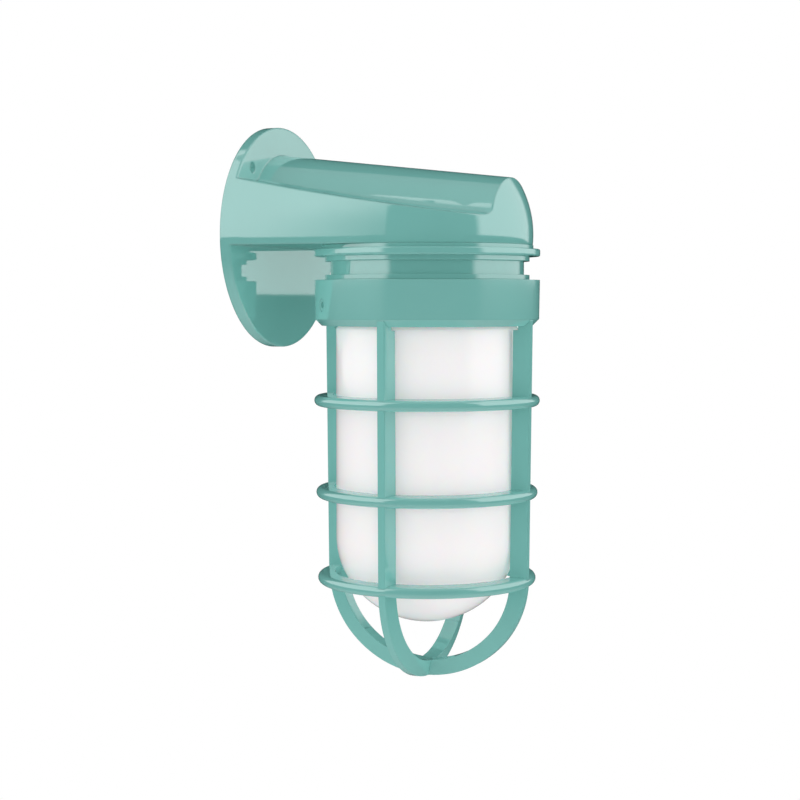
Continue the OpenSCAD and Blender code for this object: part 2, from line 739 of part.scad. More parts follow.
module lamp_bulb() {
    color("whitesmoke") on_axis() rotate_extrude() difference() {
        bulb_section(0);
        bulb_section(bulb_t);
    }
}

module lamp_cap() {
    turn = cap_h / (cap_ridges + 2);
    color(steel) on_axis() rotate_extrude() {
        translate([0, cap_low_z]) square([cap_r - cap_ridge_r, cap_h]);
        for (i = [1 : cap_ridges]) translate([cap_r - cap_ridge_r, cap_top_z - i * turn])
            intersection() {
                circle(r = cap_ridge_r * 2);
                translate([-cap_ridge_r * 2, -turn / 2]) square([cap_ridge_r * 3, turn]);
            }
    }
}

module lamp_contact() {
    color(brass) on_axis(cap_top_z) cylinder(r1 = contact_r * 2, r2 = contact_r, h = lamp_tip_h);
}

module set_screw_places() {
    on_axis(set_screw_z) for (i = [0, 1]) rotate([0, 0, set_screw_angle + i * 180])
        rotate([0, 90, 0]) children();
}

module guard_collar() {
    color(paint) difference() {
        on_axis() rotate_extrude() polygon([[collar_bore_r, collar_top_z],
            [collar_top_r, collar_top_z], [collar_low_r, collar_low_z],
            [collar_foot_r, collar_foot_z], [collar_bore_r, collar_foot_z]]);
        set_screw_places() translate([0, 0, collar_bore_r - over])
            cylinder(r = set_screw_r, h = collar_top_r - collar_bore_r + 2 * over);
    }
}

// A rib's section: wide on the inside, narrow on the outside
module rib_section(outer) {
    polygon([[outer, -rib_outer_w / 2], [outer, rib_outer_w / 2],
        [outer - rib_depth, rib_inner_w / 2], [outer - rib_depth, -rib_inner_w / 2]]);
}

// One whole rib on the +X side of the fitter's axis, before it is cut to its neighbours
module rib_bar() {
    side_x = rib_low_r - hoop_side_r;
    base_z = hoop_base_r - cage_bottom_h;
    leg_h = collar_foot_z - hoop_z + collar_chamfer_h + over;
    translate([rib_low_r, 0, hoop_z]) rotate([0, rib_lean, 0]) translate([-rib_low_r, 0, -over])
        linear_extrude(height = leg_h) rib_section(rib_low_r);
    translate([side_x, 0, hoop_z]) rotate([-90, 0, 0]) rotate([0, 0, -hoop_lap])
        rotate_extrude(angle = hoop_join + 2 * hoop_lap) rib_section(hoop_side_r);
    translate([0, 0, hoop_z + base_z]) rotate([-90, 0, 0]) rotate([0, 0, hoop_join - hoop_lap])
        rotate_extrude(angle = 90 - hoop_join + 2 * hoop_lap) rib_section(hoop_base_r);
}

module guard_rib(turn) {
    corner = 2 * rib_top_r;
    color(paint) difference() {
        on_axis() rotate([0, 0, turn]) intersection() {
            rib_bar();
            translate([0, 0, hoop_z - corner]) linear_extrude(height = corner - hoop_z)
                polygon([[0, 0], [corner, -corner], [corner, corner]]);
        }
        guard_collar_envelope();
    }
}

// The collar's outer form with its bore, for cutting the tops of the ribs
module guard_collar_envelope() {
    on_axis() rotate_extrude() polygon([[0, collar_top_z], [collar_top_r + over, collar_top_z],
        [collar_low_r, collar_low_z], [collar_foot_r, collar_foot_z], [collar_bore_r, collar_foot_z],
        [collar_bore_r, bore_low_z], [0, bore_low_z]]);
}

module guard_rib_front() { guard_rib(rib_angles[0]); }
module guard_rib_back() { guard_rib(rib_angles[1]); }
module guard_rib_left() { guard_rib(rib_angles[2]); }
module guard_rib_right() { guard_rib(rib_angles[3]); }

// A ring has a round outer edge and a flat inner face just outside the ribs' inner faces
module guard_ring(proud, drop) {
    z = collar_foot_z - drop;
    inner = rib_r_at(z) - rib_depth + clear;
    nose_x = rib_r_at(z) + proud - ring_nose_r;
    color(paint) difference() {
        on_axis(z) rotate_extrude() {
            polygon([[inner, -ring_inner_h / 2], [nose_x, -ring_nose_r], [nose_x, ring_nose_r],
                [inner, ring_inner_h / 2]]);
            translate([nose_x, 0]) intersection() {
                circle(r = ring_nose_r);
                translate([-ring_nose_r / 2, -ring_nose_r]) square(2 * ring_nose_r);
            }
        }
        on_axis() for (turn = rib_angles) rotate([0, 0, turn]) rib_bar();
    }
}

module guard_ring_top() { guard_ring(ring_top_proud, ring_top_drop); }
module guard_ring_middle() { guard_ring(ring_middle_proud, ring_middle_drop); }
module guard_ring_bottom() { guard_ring(ring_bottom_proud, ring_bottom_drop); }

// A set screw with a hexagon socket in its outer end
module set_screw(turn) {
    color(steel) on_axis(set_screw_z) rotate([0, 0, turn]) rotate([0, 90, 0])
        translate([0, 0, set_screw_tip_r]) difference() {
            cylinder(r = set_screw_r - fit_gap, h = set_screw_l);
            translate([0, 0, set_screw_l - socket_h])
                cylinder(r = socket_r, h = socket_h + over, $fn = 6);
        }
}

module set_screw_left() { set_screw(set_screw_angle); }
module set_screw_right() { set_screw(set_screw_angle + 180); }

arm_casting();
wall_gasket();
earth_screw();
lead_live();
lead_neutral();
lead_earth();
flange_gasket();
fitter_casting();
fitter_screw_set();
lampholder_strap();
strap_screws();
lampholder_screw();
lampholder_body();
lampholder_shell();
lampholder_contact();
terminal_screws();
jar_gasket();
glass_jar();
lamp_bulb();
lamp_cap();
lamp_contact();
guard_collar();
guard_rib_front();
guard_rib_back();
guard_rib_left();
guard_rib_right();
guard_ring_top();
guard_ring_middle();
guard_ring_bottom();
set_screw_left();
set_screw_right();
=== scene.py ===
"""Dresses and lights the cage wall light around its frame.

The wall is the plane x = 0, +X points into the room and +Z is up. The fitter,
the jar and the guard share one upright axis in front of the wall.
"""

import json
import logging
import math
from dataclasses import dataclass
from enum import Enum
from typing import ClassVar

import bmesh
import bpy
from mathutils import Euler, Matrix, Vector


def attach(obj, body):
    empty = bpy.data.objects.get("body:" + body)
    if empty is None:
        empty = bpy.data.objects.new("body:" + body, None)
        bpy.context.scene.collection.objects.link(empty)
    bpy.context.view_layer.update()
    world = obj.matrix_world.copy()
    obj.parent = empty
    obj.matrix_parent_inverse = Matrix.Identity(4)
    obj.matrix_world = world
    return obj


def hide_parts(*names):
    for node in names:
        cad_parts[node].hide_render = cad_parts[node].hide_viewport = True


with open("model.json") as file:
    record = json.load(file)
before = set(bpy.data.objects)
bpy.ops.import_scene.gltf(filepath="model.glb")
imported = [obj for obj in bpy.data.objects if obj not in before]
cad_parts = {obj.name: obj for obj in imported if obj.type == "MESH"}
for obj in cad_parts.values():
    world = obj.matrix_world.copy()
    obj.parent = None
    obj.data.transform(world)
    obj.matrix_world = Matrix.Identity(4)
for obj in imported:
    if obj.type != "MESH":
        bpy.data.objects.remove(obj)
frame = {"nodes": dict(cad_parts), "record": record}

LOG = logging.getLogger("wall_light")
MM = 0.001
FULL_TURN = 360.0
# Nearly all of a noise's values lie in this range.
NOISE_RANGE = (0.3, 0.7)
EDGE_SAMPLES = 6
# The rays that see the room and the floor as plain white.
WHITE_RAYS = ("Is Glossy Ray", "Is Transmission Ray", "Is Camera Ray")

Triple = tuple[float, float, float]
Socket = bpy.types.NodeSocket
Node = bpy.types.Node
Shape = bmesh.types.BMesh


class Slot(Enum):
    """Material slots of the record."""

    PAINT = "paint"
    RUBBER = "rubber"
    BRASS = "brass"
    STEEL = "steel"
    BLACK = "lead_black"
    WHITE = "lead_white"
    GREEN = "lead_green"
    PORCELAIN = "porcelain"
    JAR = "opal_glass"
    LAMP = "lamp_glass"


def linear(red: int, green: int, blue: int) -> Triple:
    """Turns a screen colour into the linear colour that shaders use.

    Args:
        red: Red from 0 to 255.
        green: Green from 0 to 255.
        blue: Blue from 0 to 255.

    Returns:
        The linear colour.
    """
    # The curve is the one that all screens use, straight near black.
    shares = (red / 255, green / 255, blue / 255)
    return tuple(s / 12.92 if s <= 0.04045 else ((s + 0.055) / 1.055) ** 2.4 for s in shares)


def scaled(colour: Triple, share: float) -> Triple:
    """Gives a colour times a share, which makes it deeper or lighter."""
    return tuple(c * share for c in colour)


def place(name: str, shape: Shape, material: bpy.types.Material) -> bpy.types.Object:
    """Makes an object of a shape, which is freed, and puts it in the scene.

    Args:
        name: Name of the object.
        shape: Its mesh, in metres.
        material: Its material.

    Returns:
        The object.
    """
    mesh = bpy.data.meshes.new(name)
    shape.to_mesh(mesh)
    shape.free()
    mesh.materials.append(material)
    item = bpy.data.objects.new(name, mesh)
    bpy.context.scene.collection.objects.link(item)
    return item


def arc(
    across: float, height: float, radius: float, start: float, end: float, steps: int
) -> list[Vector]:
    """Lays points along an arc in the plane of a section.

    Args:
        across: Distance of the arc's centre from the axis.
        height: Height of the arc's centre.
        radius: Radius of the arc.
        start: First direction, in degrees above outwards.
        end: Last direction, in degrees above outwards.
        steps: Parts of the arc.

    Returns:
        The points, with x outwards.
    """
    centre = Vector((across, 0, height))
    turns = [math.radians(start + (end - start) * i / steps) for i in range(steps + 1)]
    return [centre + Vector((math.cos(t), 0, math.sin(t))) * radius for t in turns]


class Board:
    """One material's node tree, with short calls for the nodes that finishes share."""

    def __init__(self, name: str) -> None:
        """Starts a material with one Principled shader.

        Args:
            name: Name of the material.
        """
        self.material = bpy.data.materials.new(name)
        self.material.use_nodes = True
        self.tree = self.material.node_tree
        self.shader = self.tree.nodes["Principled BSDF"]
        self.place = self.add("ShaderNodeTexCoord").outputs["Object"]

    def add(self, kind: str, **settings: object) -> Node:
        """Adds a node and sets its properties.

        Args:
            kind: Blender's name of the node type.
            **settings: Values of the node's properties.

        Returns:
            The new node.
        """
        node = self.tree.nodes.new(kind)
        for key, value in settings.items():
            setattr(node, key, value)
        return node

    def join(self, source: Socket, target: Socket) -> None:
        """Links an output to an input."""
        self.tree.links.new(source, target)

    def feed(self, name: str, source: Socket) -> None:
        """Links an output to one of the shader's own sockets."""
        self.join(source, self.shader.inputs[name])

    def show(self, result: Socket) -> None:
        """Makes a shader the material's surface."""
        self.join(result, self.tree.nodes["Material Output"].inputs["Surface"])

    def noise(self, scale: float, detail: float = 2.0) -> Socket:
        """Gives a noise that is fixed to the piece.

        Args:
            scale: Waves in a metre.
            detail: Octaves of the noise.

        Returns:
            The noise's value.
        """
        node = self.add("ShaderNodeTexNoise")
        node.inputs["Scale"].default_value = scale
        node.inputs["Detail"].default_value = detail
        self.join(self.place, node.inputs["Vector"])
        return node.outputs["Fac"]

    def spread(self, value: Socket, low: float, high: float) -> Socket:
        """Maps a noise's middle range to a range of values.

        Args:
            value: The noise.
            low: Result at the low end.
            high: Result at the high end.

        Returns:
            The mapped value.
        """
        node = self.add("ShaderNodeMapRange")
        ends = ("From Min", "From Max", "To Min", "To Max")
        for name, number in zip(ends, (*NOISE_RANGE, low, high)):
            node.inputs[name].default_value = number
        self.join(value, node.inputs["Value"])
        return node.outputs["Result"]

    def tint(self, value: Socket, first: Triple, second: Triple) -> Socket:
        """Blends two colours by a noise.

        Args:
            value: The noise.
            first: Colour at the low end.
            second: Colour at the high end.

        Returns:
            The blended colour.
        """
        node = self.add("ShaderNodeMix", data_type="RGBA")
        ends = {"A": first, "B": second}
        for socket in node.inputs:
            if socket.name in ends and socket.type == "RGBA":
                socket.default_value = (*ends[socket.name], 1)
        self.join(self.spread(value, 0, 1), node.inputs["Factor"])
        return next(s for s in node.outputs if s.type == "RGBA")

    def bump(self, value: Socket, depth: float, below: Socket | None = None) -> Socket:
        """Raises the surface by a noise.

        Args:
            value: The noise.
            depth: Height of the noise's full swing, in metres.
            below: A bump that this one lies on.

        Returns:
            The bumped normal.
        """
        node = self.add("ShaderNodeBump")
        node.inputs["Strength"].default_value = 1.0
        node.inputs["Distance"].default_value = depth
        self.join(value, node.inputs["Height"])
        if below:
            self.join(below, node.inputs["Normal"])
        return node.outputs["Normal"]

    def edge(self, radius: float) -> Socket:
        """Rounds the shading of sharp edges, as a coat of paint does.

        Args:
            radius: Radius of the rounding, in metres.

        Returns:
            The rounded normal.
        """
        node = self.add("ShaderNodeBevel", samples=EDGE_SAMPLES)
        node.inputs["Radius"].default_value = radius
        return node.outputs["Normal"]

    def set(self, **values: float | Triple) -> None:
        """Sets values on the shader's own sockets.

        Args:
            **values: Socket names in lower case with underscores, and their values.
        """
        for key, value in values.items():
            socket = self.shader.inputs[key.replace("_", " ").title().replace("Ior", "IOR")]
            socket.default_value = (*value, 1) if socket.type == "RGBA" else value


@dataclass(frozen=True)
class Enamel:
    """Gloss enamel on a casting: even colour under a thick clear skin with faint orange peel.

    Lengths are in metres and scales in waves a metre.
    """

    colour: Triple
    drift: float = 0.02
    drift_scale: float = 22.0
    rough: tuple[float, float] = (0.45, 0.55)
    rough_scale: float = 60.0
    edge_r: float = 0.0005
    wave_scale: float = 45.0
    wave_depth: float = 0.00001
    peel_scale: float = 900.0
    peel_depth: float = 0.000004
    skin_ior: float = 2.65
    skin_haze: float = 0.03

    def material(self, name: str) -> bpy.types.Material:
        """Builds the enamel's material.

        Args:
            name: Name of the material.

        Returns:
            The material.
        """
        board = Board(name)
        deep, light = scaled(self.colour, 1 - self.drift), scaled(self.colour, 1 + self.drift)
        board.feed("Base Color", board.tint(board.noise(self.drift_scale), deep, light))
        board.feed("Roughness", board.spread(board.noise(self.rough_scale, detail=3), *self.rough))
        slow = board.noise(self.wave_scale, detail=1)
        wave = board.bump(slow, self.wave_depth, board.edge(self.edge_r))
        board.feed("Normal", board.bump(board.noise(self.peel_scale), self.peel_depth, wave))
        board.feed("Coat Normal", wave)
        board.set(specular_ior_level=0.0, coat_weight=1.0)
        board.set(coat_roughness=self.skin_haze, coat_ior=self.skin_ior)
        return board.material


@dataclass(frozen=True)
class OpalGlass:
    """Cased white glass with a fired gloss and slow waves from the mould.

    Lengths are in metres and scales in waves a metre.
    """

    colour: Triple
    glow: float = 0.25
    glow_depth: float = 0.006
    ior: float = 1.5
    deep: float = 0.985
    deep_scale: float = 14.0
    rough: tuple[float, float] = (0.06, 0.1)
    rough_scale: float = 30.0
    wave_scale: float = 35.0
    wave_depth: float = 0.00008

    def material(self, name: str) -> bpy.types.Material:
        """Builds the glass's material.

        Args:
            name: Name of the material.

        Returns:
            The material.
        """
        board = Board(name)
        deep = scaled(self.colour, self.deep)
        board.feed("Base Color", board.tint(board.noise(self.deep_scale), deep, self.colour))
        board.feed("Roughness", board.spread(board.noise(self.rough_scale), *self.rough))
        slow = board.noise(self.wave_scale, detail=1)
        board.feed("Normal", board.bump(slow, self.wave_depth))
        board.set(ior=self.ior, subsurface_weight=self.glow, subsurface_scale=self.glow_depth)
        return board.material


@dataclass(frozen=True)
class Metal:
    """Bare or plated metal with fine turning marks.

    Lengths are in metres and scales in waves a metre.
    """

    colour: Triple
    roughness: float = 0.3
    rough_span: tuple[float, float] = (0.8, 1.3)
    deep: float = 0.8
    deep_scale: float = 180.0
    grain_scale: float = 400.0
    grain_depth: float = 0.00001

    def material(self, name: str) -> bpy.types.Material:
        """Builds the metal's material.

        Args:
            name: Name of the material.

        Returns:
            The material.
        """
        board = Board(name)
        deep = scaled(self.colour, self.deep)
        cloud = board.noise(self.deep_scale, detail=4)
        board.feed("Base Color", board.tint(cloud, deep, self.colour))
        grain = board.noise(self.grain_scale, detail=4)
        rough = [self.roughness * share for share in self.rough_span]
        board.feed("Roughness", board.spread(grain, *rough))
        board.feed("Normal", board.bump(grain, self.grain_depth))
        board.set(metallic=1.0)
        return board.material


@dataclass(frozen=True)
class Moulded:
    """Moulded rubber, sleeve plastic or glazed porcelain.

    Lengths are in metres and scales in waves a metre.
    """

    colour: Triple
    roughness: float = 0.5
    rough_span: tuple[float, float] = (0.85, 1.15)
    deep: float = 0.88
    deep_scale: float = 90.0
    grain_scale: float = 700.0
    grain_depth: float = 0.00002

    def material(self, name: str) -> bpy.types.Material:
        """Builds the moulded material.

        Args:
            name: Name of the material.

        Returns:
            The material.
        """
        board = Board(name)
        deep = scaled(self.colour, self.deep)
        cloud = board.noise(self.deep_scale, detail=3)
        board.feed("Base Color", board.tint(cloud, deep, self.colour))
        grain = board.noise(self.grain_scale, detail=3)
        rough = [self.roughness * share for share in self.rough_span]
        board.feed("Roughness", board.spread(grain, *rough))
        board.feed("Normal", board.bump(grain, self.grain_depth))
        return board.material


Finish = Enamel | OpalGlass | Metal | Moulded

SEA_GREEN = linear(121, 186, 179)
FINISHES: dict[Slot, Finish] = {
    Slot.PAINT: Enamel(SEA_GREEN),
    Slot.RUBBER: Moulded(linear(28, 28, 30), roughness=0.7),
    Slot.BRASS: Metal(linear(205, 165, 92), roughness=0.28),
    Slot.STEEL: Metal(linear(190, 192, 195)),
    Slot.BLACK: Moulded(linear(22, 22, 23), roughness=0.45),
    Slot.WHITE: Moulded(linear(225, 224, 218), roughness=0.45),
    Slot.GREEN: Moulded(linear(38, 118, 66), roughness=0.45),
    Slot.PORCELAIN: Moulded(
        linear(238, 235, 226), roughness=0.12, grain_scale=60.0, grain_depth=0.00005
    ),
    Slot.JAR: OpalGlass(linear(252, 247, 248)),
    Slot.LAMP: OpalGlass(linear(238, 238, 234), glow=0.1),
}


class Paintbox:
    """Makes each finish's material once."""

    def __init__(self) -> None:
        """Reads each node's slot, and starts with no material made."""
        parts = frame["record"]["subparts"]
        self.slots = {part["node"]: Slot(part["material_slot"]) for part in parts}
        self.made: dict[Finish, bpy.types.Material] = {}

    def get(self, name: str, finish: Finish) -> bpy.types.Material:
        """Gives the material of a finish.

        Args:
            name: Name of what the finish is first made for.
            finish: The finish.

        Returns:
            The material.
        """
        if finish not in self.made:
            self.made[finish] = finish.material(f"finish_{name}")
        return self.made[finish]


@dataclass(frozen=True)
class Assembly:
    """Nodes of the frame that belong together."""

    paints: Paintbox
    nodes: ClassVar[tuple[str, ...]] = ()

    def own(self) -> dict[str, Finish]:
        """Gives the finishes of nodes that differ from the rest of their slot."""
        return {}

    def build(self) -> None:
        """Gives each node its material."""
        own = self.own()
        for name in self.nodes:
            slot = self.paints.slots[name]
            if name in own:
                material = self.paints.get(name, own[name])
            else:
                material = self.paints.get(slot.value, FINISHES[slot])
            mesh = frame["nodes"][name].data
            mesh.materials.clear()
            mesh.materials.append(material)
            mesh.shade_smooth()
            LOG.info("%s: %s", name, slot.value)


@dataclass(frozen=True)
class Castings(Assembly):
    """The hooded arm on its round plate, the fitter under it, and their seals and screws."""

    nodes: ClassVar[tuple[str, ...]] = (
        "arm_casting",
        "fitter_casting",
        "wall_gasket",
        "flange_gasket",
        "fitter_screw_set",
    )
    arm_edge_r: float = 0.0018

    def own(self) -> dict[str, Finish]:
        """Rounds the shading of the arm's edges as widely as a sand casting's fillets, in its
        shading only.
        """
        return {"arm_casting": Enamel(SEA_GREEN, edge_r=self.arm_edge_r)}


@dataclass(frozen=True)
class Guard(Assembly):
    """The cage: a collar, ribs that cross under the jar, three rings and the set screws."""

    ribs: ClassVar[tuple[str, ...]] = (
        "guard_rib_front",
        "guard_rib_back",
        "guard_rib_left",
        "guard_rib_right",
    )
    nodes: ClassVar[tuple[str, ...]] = (
        "guard_collar",
        *ribs,
        "guard_ring_top",
        "guard_ring_middle",
        "guard_ring_bottom",
        "set_screw_left",
        "set_screw_right",
    )
    collar_haze: float = 0.12
    rib_skin: float = 1.9

    def own(self) -> dict[str, Finish]:
        """Gives the collar a softer gloss, and the ribs a thinner one."""
        rib = Enamel(SEA_GREEN, skin_ior=self.rib_skin)
        collar = Enamel(SEA_GREEN, skin_haze=self.collar_haze)
        return {"guard_collar": collar, **{name: rib for name in self.ribs}}


@dataclass(frozen=True)
class Lampholder(Assembly):
    """The porcelain lampholder on the strap that carries it."""

    nodes: ClassVar[tuple[str, ...]] = (
        "lampholder_strap",
        "strap_screws",
        "lampholder_screw",
        "lampholder_body",
        "lampholder_shell",
        "lampholder_contact",
        "terminal_screws",
    )


@dataclass(frozen=True)
class Wiring(Assembly):
    """The leads in the arm and the earth screw."""

    nodes: ClassVar[tuple[str, ...]] = (
        "lead_live",
        "lead_neutral",
        "lead_earth",
        "earth_screw",
    )


@dataclass(frozen=True)
class Lamp(Assembly):
    """The screw-in lamp: its glass bulb, screw cap and tip contact."""

    nodes: ClassVar[tuple[str, ...]] = ("lamp_bulb", "lamp_cap", "lamp_contact")


@dataclass(frozen=True)
class Jar(Assembly):
    """The opal jar with the photograph's bottom, a round rim and a screw thread.

    Sizes are in millimetres, and heights are above the plate's centre.
    """

    nodes: ClassVar[tuple[str, ...]] = ("glass_jar", "jar_gasket")
    # The straight wall, and the shoulder where it narrows to the neck.
    body_r: float = 57.05
    neck_r: float = 52.6
    wall: float = 3.0
    shoulder_z: float = -52.5
    shoulder_h: float = 6.0
    # The round corner of the bottom, and the flatter dome inside it.
    knuckle_r: float = 50.0
    knuckle_z: float = -188.5
    base_r: float = 58.5
    # The thread starts below the rim. It fades over a share of its run at each end,
    # where it sinks into the glass.
    thread_r: float = 1.2
    thread_pitch: float = 5.0
    thread_turns: float = 2.5
    thread_start: float = 4.0
    thread_fade: float = 0.15
    thread_sink: float = 1.56
    # Sides of a full turn, steps of the curves in the section, and the distance at
    # which two points become one.
    sides: int = 128
    curve_steps: int = 16
    small_steps: int = 8
    thread_steps: int = 12
    merge: float = 0.001

    def side(self, inset: float) -> list[Vector]:
        """Gives one face of the wall, from the shoulder to the bottom's centre.

        Args:
            inset: How far the face lies inside the outer face.

        Returns:
            The points.
        """
        shoulder = []
        for i in range(self.small_steps + 1):
            run = i / self.small_steps
            out = (self.body_r - self.neck_r) * (1 - math.cos(math.pi * run)) / 2
            height = self.shoulder_z - self.shoulder_h * run
            shoulder.append(Vector((self.neck_r - inset + out, 0, height)))
        across = self.body_r - self.knuckle_r
        span = self.base_r - self.knuckle_r
        rise = math.sqrt(span * span - across * across)
        join = math.degrees(math.atan2(rise, across))
        knuckle_r, base_r = self.knuckle_r - inset, self.base_r - inset
        knuckle = arc(across, self.knuckle_z, knuckle_r, 0, -join, self.curve_steps)
        base = arc(0, self.knuckle_z + rise, base_r, -join, -90, self.curve_steps)
        return shoulder + knuckle + base[1:]

    def turned(self, points: list[Vector], turns: float, drop: float) -> Shape:
        """Spins a line of points round the upright axis.

        Args:
            points: The line.
            turns: Turns of the spin.
            drop: How far the line goes down in one turn.

        Returns:
            The mesh.
        """
        shape = bmesh.new()
        verts = [shape.verts.new(p) for p in points]
        edges = [shape.edges.new(pair) for pair in zip(verts, verts[1:])]
        bmesh.ops.spin(
            shape,
            geom=[*verts, *edges],
            axis=(0, 0, 1),
            dvec=(0, 0, -drop / self.sides),
            angle=math.tau * turns,
            steps=round(self.sides * turns),
            use_merge=drop == 0,
        )
        return shape

    def thread(self, top: float) -> Shape:
        """Winds the glass thread, which sinks into the neck at both ends.

        Args:
            top: Height of the jar's rim.

        Returns:
            The mesh.
        """
        first = top - self.thread_start
        ring = arc(self.neck_r, first, self.thread_r, -180, 180, self.thread_steps)
        shape = self.turned(ring, self.thread_turns, self.thread_pitch)
        for vert in shape.verts:
            run = (first - vert.co.z) / self.thread_pitch / self.thread_turns
            sunk = max(0.0, 1 - min(run, 1 - run) / self.thread_fade) * self.thread_sink
            out = Vector((vert.co.x, vert.co.y, 0))
            vert.co -= out.normalized() * sunk
        return shape

    def glass(self, top: float) -> Shape:
        """Turns the wall with its rim, and winds the thread on it.

        Args:
            top: Height of the jar's rim.

        Returns:
            The mesh, round an axis through the origin.
        """
        round_r = self.wall / 2
        rim = arc(self.neck_r - round_r, top - round_r, round_r, 180, 0, self.small_steps)
        inner = self.side(self.wall)[::-1]
        shape = self.turned([*inner, *rim, *self.side(0)], turns=1, drop=0)
        # Blender joins two meshes by way of a stored one.
        ridge = self.thread(top)
        extra = bpy.data.meshes.new("thread")
        ridge.to_mesh(extra)
        ridge.free()
        shape.from_mesh(extra)
        bpy.data.meshes.remove(extra)
        bmesh.ops.remove_doubles(shape, verts=shape.verts, dist=self.merge)
        bmesh.ops.recalc_face_normals(shape, faces=shape.faces)
        return shape

    def build(self) -> None:
        """Dresses the nodes, and makes the jar in the place of the plain one."""
        super().build()
        plain = frame["nodes"]["glass_jar"]
        corners = [plain.matrix_world @ Vector(c) / MM for c in plain.bound_box]
        middle = [(min(c[i] for c in corners) + max(c[i] for c in corners)) / 2 for i in (0, 1)]
        shape = self.glass(max(c.z for c in corners))
        bmesh.ops.translate(shape, verts=shape.verts, vec=(*middle, 0))
        bmesh.ops.scale(shape, verts=shape.verts, vec=(MM, MM, MM))
        item = place("opal_jar", shape, self.paints.get(Slot.JAR.value, FINISHES[Slot.JAR]))
        item.data.shade_smooth()
        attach(item, "jar")
        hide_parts("glass_jar")
        LOG.info("opal_jar: %s", Slot.JAR.value)


class Card:
    """A card that only the gloss sees, in place of the room's white."""

    def __init__(self, name: str, glow: float) -> None:
        """Starts the card's material.

        Args:
            name: Name of the card.
            glow: Radiance of the card, with 1 for white.
        """
        self.name = name
        self.board = Board(name)
        self.lit = self.board.add("ShaderNodeEmission")
        self.lit.inputs["Strength"].default_value = glow
        self.board.show(self.lit.outputs["Emission"])

    def fade_ends(self, middle: float, half: float, soft: float) -> None:
        """Fades a round band to clear at both of its ends.

        Args:
            middle: Direction of the band's middle, in radians.
            half: Half of the band's turn, in radians.
            soft: Turn that the fade takes, in radians.
        """
        board = self.board
        turn = board.add("ShaderNodeVectorRotate", rotation_type="Z_AXIS")
        turn.inputs["Angle"].default_value = -middle
        split = board.add("ShaderNodeSeparateXYZ")
        angle = board.add("ShaderNodeMath", operation="ARCTAN2")
        size = board.add("ShaderNodeMath", operation="ABSOLUTE")
        fade = board.add("ShaderNodeMapRange", interpolation_type="SMOOTHSTEP")
        fade.inputs["From Min"].default_value = half - soft
        fade.inputs["From Max"].default_value = half
        clear = board.add("ShaderNodeBsdfTransparent")
        blend = board.add("ShaderNodeMixShader")
        board.join(board.place, turn.inputs["Vector"])
        board.join(turn.outputs["Vector"], split.inputs["Vector"])
        board.join(split.outputs["Y"], angle.inputs[0])
        board.join(split.outputs["X"], angle.inputs[1])
        board.join(angle.outputs["Value"], size.inputs[0])
        board.join(size.outputs["Value"], fade.inputs["Value"])
        board.join(fade.outputs["Result"], blend.inputs["Fac"])
        board.join(self.lit.outputs["Emission"], blend.inputs[1])
        board.join(clear.outputs["BSDF"], blend.inputs[2])
        board.show(blend.outputs["Shader"])

    def fade_out(self, centre: Triple, reach: float, glow: float) -> None:
        """Darkens a disc from its centre out.

        Args:
            centre: Centre of the disc.
            reach: Radius at which the disc is black.
            glow: Radiance at the centre.
        """
        away = self.board.add("ShaderNodeVectorMath", operation="DISTANCE")
        away.inputs[1].default_value = centre
        fade = self.board.add("ShaderNodeMapRange")
        for name, number in (("From Max", reach), ("To Min", glow), ("To Max", 0.0)):
            fade.inputs[name].default_value = number
        self.board.join(self.board.place, away.inputs[0])
        self.board.join(away.outputs["Value"], fade.inputs["Value"])
        self.board.join(fade.outputs["Result"], self.lit.inputs["Strength"])

    def stand(self, shape: Shape, at: Triple) -> None:
        """Stands the card in the room.

        Args:
            shape: Its mesh, which is freed.
            at: Place of the mesh's origin.
        """
        item = place(self.name, shape, self.board.material)
        item.location = at
        item.visible_camera = item.visible_diffuse = item.visible_transmission = False
        item.visible_shadow = item.visible_volume_scatter = False


@dataclass(frozen=True)
class Fill:
    """A wide soft light that reaches into hollows and isn't mirrored.

    It comes from turn degrees to the right of the camera and rise degrees up.
    """

    name: str
    turn: float
    rise: float
    glow: float
    spread: float = 60.0

    def hang(self, ahead: Vector) -> None:
        """Makes the light.

        Args:
            ahead: Level direction from the wall light to the camera.
        """
        data = bpy.data.lights.new(self.name, "SUN")
        data.angle = math.radians(self.spread)
        # A sun of strength pi lights a white face that looks at it to white.
        data.energy = self.glow * math.pi
        data.use_shadow = False
        aim, rise = ahead.copy(), math.radians(self.rise)
        aim.rotate(Euler((0, 0, math.radians(self.turn))))
        aim = aim * math.cos(rise) + Vector((0, 0, math.sin(rise)))
        item = bpy.data.objects.new(self.name, data)
        item.rotation_euler = aim.to_track_quat("Z", "Y").to_euler()
        item.visible_glossy = False
        bpy.context.scene.collection.objects.link(item)


FILLS = (
    Fill("fill_front", turn=5, rise=0, glow=0.26),
    Fill("fill_left", turn=-80, rise=5, glow=0.34),
    Fill("fill_right", turn=80, rise=5, glow=0.32),
    Fill("fill_low", turn=0, rise=-60, glow=0.16),
    Fill("fill_top", turn=0, rise=80, glow=0.16),
)


